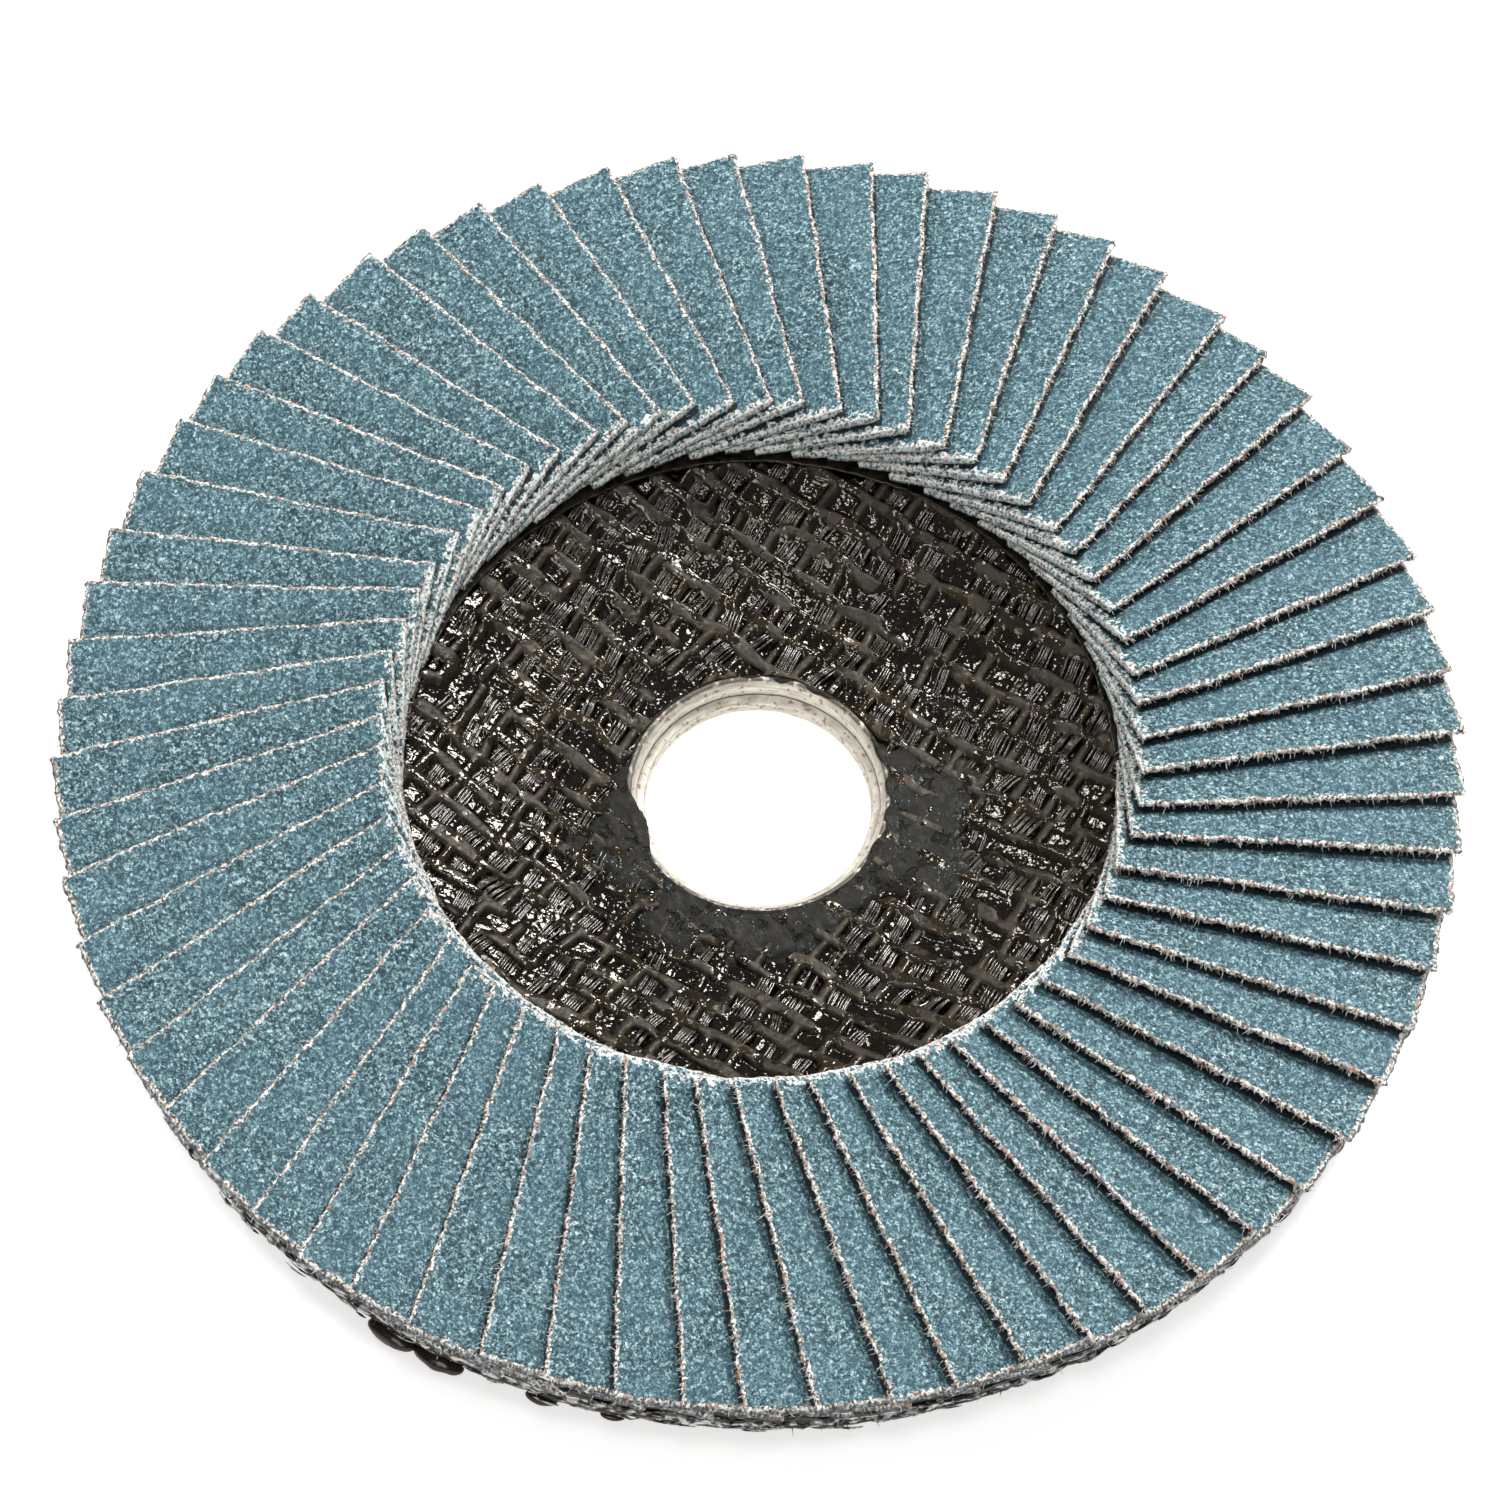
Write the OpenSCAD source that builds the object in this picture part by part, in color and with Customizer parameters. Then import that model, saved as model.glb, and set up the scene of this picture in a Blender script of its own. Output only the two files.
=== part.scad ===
// Flap disc for an angle grinder. Overlapping flaps of abrasive-coated cloth
// are bonded in a fan to a pressed glass-fibre backing plate, and a stamped
// steel ring lines the bore. The spindle axis is Z. The back of the hub, where
// the disc seats on the grinder, is at z = 0, and the flaps face +Z.

/* [Disc] */
// Diameter over the outer tips of the flaps
disc_d = 100; // [99:0.5:102]
// Diameter of the backing plate
plate_d = 97.5; // [94:0.5:98]
// Bore of the centre ring, a 16 mm spindle boss plus clearance
bore_d = 16.2; // [16.05:0.05:16.4]

/* [Flaps] */
// Number of flaps round the disc
flap_count = 65; // [60:1:66]
// Flaps that share one node
flaps_per_node = 2; // [2:1:5]
// Thickness of one flap, cloth and grain together
flap_t = 0.95; // [0.7:0.05:0.95]
// Width of one flap, from its free cut edge down to its foot
flap_w = 12; // [11:0.25:12]
// Radius of the inner end of a free edge
crest_r_in = 26.9; // [26.5:0.1:27.5]
// Height of the inner end of a free edge
crest_z_in = 12.25; // [12.2:0.05:12.5]
// Height of the outer tip
crest_z_out = 8.2; // [8.1:0.05:8.4]
// Angle round the axis that a free edge covers from inner end to tip
crest_sweep = 8.8; // [8:0.1:9.5]
// Fall of a flap per radian round the axis
flap_fall = 12.3; // [12.1:0.05:12.5]

/* [Backing plate] */
// Thickness of each of the four full glass-fibre plies
ply_t = 0.475; // [0.475:0.005:0.5]
// Thickness of the extra ply that stiffens the hub
hub_ply_t = 0.8; // [0.6:0.05:0.9]
// Radius of the flat hub
hub_r = 15.4; // [14.7:0.1:16]
// Radius at which the dished wall meets the rim
knee_r = 25.2; // [24.8:0.1:25.4]
// Height of the plate's front face at the knee
knee_z = 5.75; // [5.6:0.05:5.8]
// Slope of the rim, falling outwards, in degrees
rim_slope = 4.3; // [4:0.1:5]

/* [Centre ring] */
// Radius of the flange on the back of the hub
flange_r = 13; // [12:0.1:14]
// Thickness of the flange
flange_t = 0.46; // [0.3:0.02:0.46]
// Height of the narrow part of the bore
bore_h = 1.1; // [1:0.05:1.4]
// Radius of the wide part of the bore above the step
wide_r = 8.75; // [8.5:0.05:8.8]
// Inner radius of the flared front lip
lip_r = 9.15; // [9:0.05:9.2]

/* [Adhesive] */
// Thickness of the bed at its inner edge
bed_t_in = 0.3; // [0.2:0.02:0.32]
// Thickness of the bed half way across
bed_t_mid = 0.6; // [0.3:0.02:0.6]
// Thickness of the bed at the rim
bed_t_out = 0.4; // [0.2:0.02:0.42]
// Outer radius of the resin film smeared over the front of the hub
film_r = 14.6; // [12:0.1:15]

/* [Hidden] */
$fn = 96;
joint_gap = 0.01;          // half of the play left between bonded layers
wall_gap = 0.1;            // radial play between the ring and the plies
ring_wall = 0.42;          // sheet thickness of the ring's collar
lip_h = 0.5;               // height of the flare at the ring's front
lip_round = 0.05;          // fall from the crown of the lip to its inner edge
step_h = 0.1;              // height and width of the slope at the ring's step
hub_t = 4 * ply_t + hub_ply_t;
plate_r = plate_d / 2;
bore_r = bore_d / 2;
tip_r = disc_d / 2;
collar_r = wide_r + ring_wall;
ply_bore_r = lip_r + ring_wall;
flange_pocket_r = flange_r + wall_gap;
film_t = 0.14;             // resin film on the hub
bed_r_in = knee_r + 0.1;   // inner edge of the adhesive bed
bed_r_mid = 36;            // where the bed is thickest
bed_r_out = plate_r - 0.1; // outer edge of the adhesive bed
hub_ply_r = knee_r - 2;    // outer edge of the hub ply, feathered to nothing

// Free edge of a flap in plan: a straight line skewed from the radius
pitch = 360 / flap_count;
crest_l = sqrt(pow(tip_r, 2) + pow(crest_r_in, 2)
               - 2 * tip_r * crest_r_in * cos(crest_sweep));
crest_skew = asin(tip_r * sin(crest_sweep) / crest_l);
crest_offset = crest_r_in * sin(crest_skew);
crest_dir = [cos(crest_skew), sin(crest_skew)];
width_dir = [-sin(crest_skew), cos(crest_skew)];
crest_slope = (crest_z_out - crest_z_in) / (tip_r - crest_r_in);
first_tip = 6.3;           // angle of the first flap's tip from +X
cells_u = 6;               // facets along a flap
cells_v = 3;               // facets across a flap

// Resin drops squeezed out under the edge of the plate
drop_angles = [241.5, 245.9, 255, 261];
drop_sizes = [1, 1, 0.6, 0.45];
drop_r = 0.8;              // radius of a drop of size 1
drop_half_l = 1.85;        // half its length along the edge
drop_inset = 0.1;          // how far inside the edge a drop's middle lies

steel = [0.80, 0.78, 0.72];
resin = [0.10, 0.10, 0.10];
glass_ply = [0.20, 0.17, 0.14];
adhesive = [0.16, 0.13, 0.11];
zirconia = [[0.33, 0.52, 0.58], [0.29, 0.47, 0.54]];

group_count = ceil(flap_count / flaps_per_node);
function two_digits(n) = n < 10 ? str("0", n) : str(n);
function first_flap(g) = g * flaps_per_node + 1;
function last_flap(g) = min(flap_count, (g + 1) * flaps_per_node);
function flap_node(g) = first_flap(g) == last_flap(g)
    ? str("flap_", two_digits(first_flap(g)))
    : str("flaps_", two_digits(first_flap(g)), "_", two_digits(last_flap(g)));
flap_nodes = [for (g = [0 : group_count - 1]) flap_node(g)];

// Height of the plate's front face over the rim
function rim_front_z(r) = knee_z - (r - knee_r) * tan(rim_slope);

// Level of a surface that lies d above the plate's back, as corner points
// from the bore to the rim
function back_level(r_in, d) = [
    [r_in, d],
    [hub_r, d],
    [knee_r, knee_z - 4 * ply_t + d],
    [plate_r, rim_front_z(plate_r) - 4 * ply_t + d]
];

// Level of a surface that lies d below the plate's front
function front_level(r_in, d) = [
    [r_in, hub_t - d],
    [hub_r, hub_t - d],
    [knee_r, knee_z - d],
    [plate_r, rim_front_z(plate_r) - d]
];

function reversed(points) = [for (i = [len(points) - 1 : -1 : 0]) points[i]];

module turned(lower, upper) {
    rotate_extrude() polygon(concat(lower, reversed(upper)));
}

// Stamped ring: a flange flush with the back of the hub, and a collar that is
// narrow at the back, stepped wider, and flared over at the front
module centre_ring() {
    lip_z = hub_t + film_t;
    color(steel) rotate_extrude() polygon([
        [bore_r, 0],
        [flange_r, 0],
        [flange_r, flange_t],
        [collar_r, flange_t],
        [collar_r, lip_z - lip_h],
        [ply_bore_r - wall_gap, lip_z - 3 * lip_round],
        [lip_r + 2 * lip_round, lip_z],
        [lip_r, lip_z - lip_round],
        [wide_r, lip_z - lip_h],
        [wide_r, bore_h + step_h],
        [bore_r + step_h, bore_h + step_h],
        [bore_r, bore_h]
    ]);
}

// Rearmost glass-fibre ply, cut out for the ring's flange
module rear_glass_ply() {
    color(resin) turned(back_level(flange_pocket_r, 0),
                        back_level(flange_pocket_r, ply_t - joint_gap));
}

module inner_rear_glass_ply() {
    color(glass_ply) turned(back_level(ply_bore_r, ply_t + joint_gap),
                            back_level(ply_bore_r, 2 * ply_t - joint_gap));
}

// Extra ply between the two pairs of full plies, feathered out up the wall
module hub_glass_ply() {
    wall = (hub_ply_r - hub_r) / (knee_r - hub_r);
    back_rise = (knee_z - 4 * ply_t) * wall;
    front_rise = (knee_z - hub_t) * wall;
    color(glass_ply) rotate_extrude() polygon([
        [ply_bore_r, 2 * ply_t + joint_gap],
        [hub_r, 2 * ply_t + joint_gap],
        [hub_ply_r, 2 * ply_t + joint_gap + back_rise],
        [hub_ply_r, hub_t - 2 * ply_t - joint_gap + front_rise],
        [hub_r, hub_t - 2 * ply_t - joint_gap],
        [ply_bore_r, hub_t - 2 * ply_t - joint_gap]
    ]);
}

module inner_front_glass_ply() {
    color(glass_ply) turned(front_level(ply_bore_r, 2 * ply_t - joint_gap),
                            front_level(ply_bore_r, ply_t + joint_gap));
}

module front_glass_ply() {
    color(resin) turned(front_level(ply_bore_r, ply_t - joint_gap),
                        front_level(ply_bore_r, 0));
}

// Cured resin smeared round the ring, where the clamping nut bears
module hub_resin_film() {
    color(resin) translate([0, 0, hub_t + joint_gap]) difference() {
        cylinder(h = film_t - joint_gap, r = film_r);
        translate([0, 0, -1]) cylinder(h = film_t + 2, r = ply_bore_r);
    }
}

// Bed of adhesive on the rim that the feet of the flaps are set in
module adhesive_bed() {
    function over_rim(r, t) = [r, rim_front_z(r) + t];
    color(adhesive) turned(
        [over_rim(bed_r_in, joint_gap), over_rim(bed_r_out, joint_gap)],
        [over_rim(bed_r_in, bed_t_in), over_rim(bed_r_mid, bed_t_mid),
         over_rim(bed_r_out, bed_t_out)]);
}

// Drops of adhesive that hang under the edge of the plate, longer than high
module adhesive_drops() {
    rim_back_z = rim_front_z(plate_r) - 4 * ply_t;
    color(resin) for (i = [0 : len(drop_angles) - 1]) {
        size = drop_sizes[i];
        half_outline = [for (a = [-90 : 15 : 90])
                        size * [drop_r * cos(a), drop_half_l * sin(a)]];
        rotate(drop_angles[i])
            translate([plate_r - drop_inset, 0, rim_back_z - joint_gap - size * drop_r])
                rotate([90, 0, 0]) rotate_extrude($fn = 32) polygon(half_outline);
    }
}

// Polar angle of the free edge at radius r, from the edge's inner end
function crest_angle(r) = crest_skew - asin(crest_offset / r);

// Height of a flap's grain side at a plan position. The surface falls evenly
// round the axis, so turned copies of it nest at one constant spacing.
function grain_z(p) =
    let (r = norm(p), angle = atan2(p.y, p.x))
    crest_z_in + crest_slope * (r - crest_r_in)
    - flap_fall * (angle - crest_angle(r)) * PI / 180;

// Height from a flap's back to its grain side, measured along Z
function upright_t(p) = flap_t * sqrt(1 + pow(flap_fall / norm(p), 2));

// Plan position at fraction u along the free edge and v across the flap
function flap_plan(u, v) =
    let (crest = [crest_r_in, 0] + u * crest_l * crest_dir,
         width = flap_w * cos(atan(flap_fall / norm(crest))))
    crest + v * width * width_dir;

flap_grid = [for (i = [0 : cells_u]) for (j = [0 : cells_v])
             flap_plan(i / cells_u, j / cells_v)];
grid_size = len(flap_grid);
flap_points = concat(
    [for (p = flap_grid) [p.x, p.y, grain_z(p)]],
    [for (p = flap_grid) [p.x, p.y, grain_z(p) - upright_t(p)]]);

function at(i, j) = i * (cells_v + 1) + j;
flap_faces = concat(
    [for (i = [0 : cells_u - 1]) for (j = [0 : cells_v - 1])
        each [[at(i, j), at(i, j + 1), at(i + 1, j + 1)],
              [at(i, j), at(i + 1, j + 1), at(i + 1, j)]]],
    [for (i = [0 : cells_u - 1]) for (j = [0 : cells_v - 1])
        each [[at(i, j), at(i + 1, j + 1), at(i, j + 1)] + grid_size * [1, 1, 1],
              [at(i, j), at(i + 1, j), at(i + 1, j + 1)] + grid_size * [1, 1, 1]]],
    [for (i = [0 : cells_u - 1]) each wall_faces(at(i, 0), at(i + 1, 0))],
    [for (i = [0 : cells_u - 1]) each wall_faces(at(i + 1, cells_v), at(i, cells_v))],
    [for (j = [0 : cells_v - 1]) each wall_faces(at(0, j + 1), at(0, j))],
    [for (j = [0 : cells_v - 1]) each wall_faces(at(cells_u, j), at(cells_u, j + 1))]);

// Two triangles of a flap's cut edge below the grid points a and b
function wall_faces(a, b) = [[a, b, b + grid_size], [a, b + grid_size, a + grid_size]];

// One flap with its inner corner on +X
module flap() {
    polyhedron(points = flap_points, faces = flap_faces);
}

// The flaps of one node, neighbours in the fan
module flap_group(g) {
    for (k = [first_flap(g) : last_flap(g)])
        color(zirconia[k % 2])
            rotate(first_tip - crest_sweep + (k - 1) * pitch) flap();
}

centre_ring();
rear_glass_ply();
inner_rear_glass_ply();
hub_glass_ply();
inner_front_glass_ply();
front_glass_ply();
hub_resin_film();
adhesive_bed();
adhesive_drops();
for (g = [0 : group_count - 1])
    flap_group(g);
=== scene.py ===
import math

import bpy
import numpy as np
from mathutils import Matrix, Vector


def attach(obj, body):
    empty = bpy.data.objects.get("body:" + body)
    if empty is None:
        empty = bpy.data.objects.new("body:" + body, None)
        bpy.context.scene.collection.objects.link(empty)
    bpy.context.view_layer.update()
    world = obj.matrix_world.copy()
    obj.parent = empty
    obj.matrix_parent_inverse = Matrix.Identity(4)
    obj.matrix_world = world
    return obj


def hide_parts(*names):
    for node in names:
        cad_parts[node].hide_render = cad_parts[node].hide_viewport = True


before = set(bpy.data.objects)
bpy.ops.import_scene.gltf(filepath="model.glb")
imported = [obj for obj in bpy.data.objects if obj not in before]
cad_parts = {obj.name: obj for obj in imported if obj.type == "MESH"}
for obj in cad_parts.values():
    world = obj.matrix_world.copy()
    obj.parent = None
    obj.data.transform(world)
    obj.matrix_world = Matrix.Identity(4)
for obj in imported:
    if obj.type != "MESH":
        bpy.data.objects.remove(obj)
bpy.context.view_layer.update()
MM = 0.001

# ---------------------------------------------------------------- dimensions
TIP_R = 50.0
FLAP_COUNT = 65
FLAP_W = 12.0
FLAP_T = 0.95
CREST_R_IN = 26.9
CREST_Z_IN = 12.25
CREST_Z_OUT = 8.2
CREST_SWEEP = math.radians(8.8)
FLAP_FALL = 12.3
FIRST_TIP = math.radians(6.3)
PITCH = 2 * math.pi / FLAP_COUNT
CREST_L = math.sqrt(TIP_R**2 + CREST_R_IN**2
                    - 2 * TIP_R * CREST_R_IN * math.cos(CREST_SWEEP))
CREST_SKEW = math.asin(TIP_R * math.sin(CREST_SWEEP) / CREST_L)
CREST_OFFSET = CREST_R_IN * math.sin(CREST_SKEW)
CREST_SLOPE = (CREST_Z_OUT - CREST_Z_IN) / (TIP_R - CREST_R_IN)
CREST_DIR = np.array([math.cos(CREST_SKEW), math.sin(CREST_SKEW)])
WIDTH_DIR = np.array([-math.sin(CREST_SKEW), math.cos(CREST_SKEW)])

PLATE_R = 48.75
PLY_T = 0.475
HUB_T = 2.7
HUB_R = 15.4
KNEE_R = 25.2
KNEE_Z = 5.75
RIM_SLOPE = math.radians(4.3)
RING_BORE_R = 8.1
RING_WIDE_R = 8.75
RING_WALL = 0.42
RING_FLANGE_R = 13.0
PLY_BORE_R = 9.57
FLANGE_POCKET_R = 13.1
LIP_Z = 2.84
# Angle in degrees and size of each resin drop, hung under the plate's edge
DROPS = ((241.5, 1.0), (245.9, 1.0), (255, 0.6), (261, 0.45))
DROP_R = 0.8
DROP_HALF_L = 1.95
UP = np.array([0.0, 0.0, 1.0])


# ------------------------------------------------------------- small helpers
NO_TRIS = np.zeros((0, 3), int)


def smooth(t):
    t = np.clip(t, 0.0, 1.0)
    return t * t * (3 - 2 * t)


def step(edge0, edge1, x):
    return smooth((x - edge0) / (edge1 - edge0))


def lattice(ix, iy, seed):
    """A repeatable random number from 0 to 1 for each integer cell."""
    n = (ix.astype(np.int64) * 374761393 + iy.astype(np.int64) * 668265263
         + seed * 974634777) & 0xFFFFFFFF
    n = ((n ^ (n >> 13)) * 1274126177) & 0xFFFFFFFF
    n = ((n ^ (n >> 16)) * 2246822519) & 0xFFFFFFFF
    return ((n ^ (n >> 15)) & 0xFFFFFF) / float(0xFFFFFF)


def value_noise(x, y, seed):
    """Smooth noise from -1 to 1 with one feature per unit."""
    x, y = np.broadcast_arrays(x, y)
    ix, iy = np.floor(x), np.floor(y)
    fx, fy = smooth(x - ix), smooth(y - iy)
    a, b = lattice(ix, iy, seed), lattice(ix + 1, iy, seed)
    c, d = lattice(ix, iy + 1, seed), lattice(ix + 1, iy + 1, seed)
    return 2 * ((a * (1 - fx) + b * fx) * (1 - fy) + (c * (1 - fx) + d * fx) * fy) - 1


def cloud(x, y, seed, octaves=3):
    """Sum of value noise, each octave half the size and strength of the last."""
    total, size = 0.0, 1.0
    for k in range(octaves):
        total = total + value_noise(x / size, y / size, seed + 17 * k) * size
        size *= 0.5
    return total / 1.75


def make_piece(name, node, slot, material, points, quads, tris=NO_TRIS, attributes=None):
    """A mesh object from arrays in millimetres, riding on the body root, in place of
    a CAD node."""
    points = np.asarray(points, dtype=np.float32) * MM
    mesh = bpy.data.meshes.new(name)
    mesh.vertices.add(len(points))
    mesh.vertices.foreach_set("co", points.ravel())
    loops = np.concatenate([quads.ravel(), tris.ravel()])
    sizes = np.concatenate([np.full(len(quads), 4), np.full(len(tris), 3)])
    starts = np.concatenate([[0], np.cumsum(sizes)[:-1]])
    mesh.loops.add(len(loops))
    mesh.loops.foreach_set("vertex_index", loops.astype(np.int32))
    mesh.polygons.add(len(sizes))
    mesh.polygons.foreach_set("loop_start", starts.astype(np.int32))
    mesh.polygons.foreach_set("use_smooth", np.ones(len(sizes), dtype=bool))
    mesh.update(calc_edges=True)
    for key, values in (attributes or {}).items():
        layer = mesh.attributes.new(key, "FLOAT", "POINT")
        layer.data.foreach_set("value", np.asarray(values, dtype=np.float32).ravel())
    mesh.materials.append(material)
    obj = bpy.data.objects.new(name, mesh)
    bpy.context.scene.collection.objects.link(obj)
    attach(obj, "root")
    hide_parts(node)


def grid_quads(rows, cols, wrap=False):
    """Quads of a grid of rows x cols points, wrapped round in cols if asked."""
    last = cols if wrap else cols - 1
    i, j = np.meshgrid(np.arange(rows - 1), np.arange(last), indexing="ij")
    k = (j + 1) % cols
    return np.stack([i * cols + j, i * cols + k, (i + 1) * cols + k, (i + 1) * cols + j],
                    axis=-1).reshape(-1, 4)


def joined(parts):
    """Points, quads and triangles of several meshes as one mesh."""
    points, quads, tris, offset = [], [], [], 0
    for p, q, t in parts:
        points.append(p)
        quads.append(q + offset)
        tris.append(t + offset)
        offset += len(p)
    return np.concatenate(points), np.concatenate(quads), np.concatenate(tris)


def tube(centre, side, radius, sides=5):
    """A tube along a line of centres. side points across it at each centre, and radius
    is its radius there."""
    turn = np.arange(sides) * 2 * math.pi / sides
    rims = np.cos(turn)[:, None] * side[:, None] + np.sin(turn)[:, None] * UP
    points = centre[:, None] + rims * radius[:, None, None]
    return points.reshape(-1, 3), grid_quads(len(centre), sides, wrap=True), NO_TRIS


def revolve_grid(profile, turns, shape):
    """Points of a closed profile [(r, z)...] turned round Z. shape gives the changed r
    and z from r, z, the angle and the number of the profile's point."""
    profile = np.asarray(profile, dtype=float)
    angle = np.linspace(0, 2 * math.pi, turns, endpoint=False)
    r = np.repeat(profile[:, :1], turns, axis=1)
    z = np.repeat(profile[:, 1:2], turns, axis=1)
    a = np.repeat(angle[None, :], len(profile), axis=0)
    index = np.repeat(np.arange(len(profile))[:, None], turns, axis=1)
    r, z = shape(r, z, a, index)
    return np.stack([r * np.cos(a), r * np.sin(a), z], axis=-1).reshape(-1, 3)


def revolve_quads(count, turns):
    """Quads between each profile point's circle and the next, closed on itself."""
    i, j = np.meshgrid(np.arange(count), np.arange(turns), indexing="ij")
    n, k = (i + 1) % count, (j + 1) % turns
    return np.stack([i * turns + j, i * turns + k, n * turns + k, n * turns + j],
                    axis=-1).reshape(-1, 4)


# ----------------------------------------------------------------- materials
class Shader:
    """Builds one procedural material."""

    def __init__(self, name):
        self.mat = bpy.data.materials.new(name)
        self.mat.use_nodes = True
        self.tree = self.mat.node_tree
        self.surface = self.tree.nodes["Principled BSDF"]
        self.coords = self.tree.nodes.new("ShaderNodeTexCoord").outputs["Object"]

    def node(self, kind, **values):
        made = self.tree.nodes.new(kind)
        for key, value in values.items():
            setattr(made, key, value)
        return made

    def feed(self, socket, value):
        if isinstance(value, bpy.types.NodeSocket):
            self.tree.links.new(value, socket)
        else:
            socket.default_value = value

    def mapped(self, scale, turn=0.0):
        made = self.node("ShaderNodeMapping")
        self.tree.links.new(self.coords, made.inputs["Vector"])
        made.inputs["Scale"].default_value = scale
        made.inputs["Rotation"].default_value = (0, 0, turn)
        return made.outputs["Vector"]

    def noise(self, size_mm, detail=2.0, vector=None, rough=0.5, twist=0.0):
        made = self.node("ShaderNodeTexNoise")
        self.tree.links.new(vector or self.coords, made.inputs["Vector"])
        made.inputs["Scale"].default_value = 1 / (size_mm * MM)
        made.inputs["Detail"].default_value = detail
        made.inputs["Roughness"].default_value = rough
        made.inputs["Distortion"].default_value = twist
        return made.outputs["Fac"]

    def cells(self, size_mm):
        """Distance to the middle of the nearest cell, and a random number per cell."""
        made = self.node("ShaderNodeTexVoronoi")
        self.tree.links.new(self.coords, made.inputs["Vector"])
        made.inputs["Scale"].default_value = 1 / (size_mm * MM)
        number = self.node("ShaderNodeSeparateColor")
        self.tree.links.new(made.outputs["Color"], number.inputs[0])
        return made.outputs["Distance"], number.outputs[0]

    def maths(self, operation, a, b=0.0, c=0.0):
        made = self.node("ShaderNodeMath", operation=operation)
        for socket, value in zip(made.inputs, (a, b, c)):
            self.feed(socket, value)
        return made.outputs[0]

    def between(self, value, low, high, out_low=0.0, out_high=1.0):
        made = self.node("ShaderNodeMapRange", interpolation_type="SMOOTHSTEP")
        for key, v in (("Value", value), ("From Min", low), ("From Max", high),
                       ("To Min", out_low), ("To Max", out_high)):
            self.feed(made.inputs[key], v)
        return made.outputs["Result"]

    def ramp(self, value, stops):
        made = self.node("ShaderNodeValToRGB")
        items = made.color_ramp.elements
        while len(items) < len(stops):
            items.new(0.5)
        for item, (place, colour) in zip(items, stops):
            item.position = place
            item.color = (*colour, 1)
        self.feed(made.inputs["Fac"], value)
        return made.outputs["Color"]

    def mix(self, fac, a, b):
        made = self.node("ShaderNodeMix", data_type="RGBA")
        self.feed(made.inputs[0], fac)
        for socket, value in ((made.inputs[6], a), (made.inputs[7], b)):
            self.feed(socket, value if isinstance(value, bpy.types.NodeSocket)
                      else (*value, 1))
        return made.outputs[2]

    def attribute(self, name):
        made = self.node("ShaderNodeAttribute", attribute_name=name)
        return made.outputs["Fac"]

    def height(self):
        """Height over the disc's back, in metres."""
        made = self.node("ShaderNodeSeparateXYZ")
        self.tree.links.new(self.coords, made.inputs[0])
        return made.outputs[2]

    def bump(self, height, depth_mm, strength=1.0):
        made = self.node("ShaderNodeBump")
        made.inputs["Strength"].default_value = strength
        made.inputs["Distance"].default_value = depth_mm * MM
        self.feed(made.inputs["Height"], height)
        return made.outputs["Normal"]

    def finish(self, colour, rough, normal=None, coat_normal=None, **fixed):
        """Feed the main sockets, and set the others to fixed numbers."""
        for key, value in (("Base Color", colour), ("Roughness", rough),
                           ("Normal", normal), ("Coat Normal", coat_normal)):
            if value is not None:
                self.feed(self.surface.inputs[key], value)
        for key, value in fixed.items():
            self.surface.inputs[key.replace("_", " ")].default_value = value
        return self.mat


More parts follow.
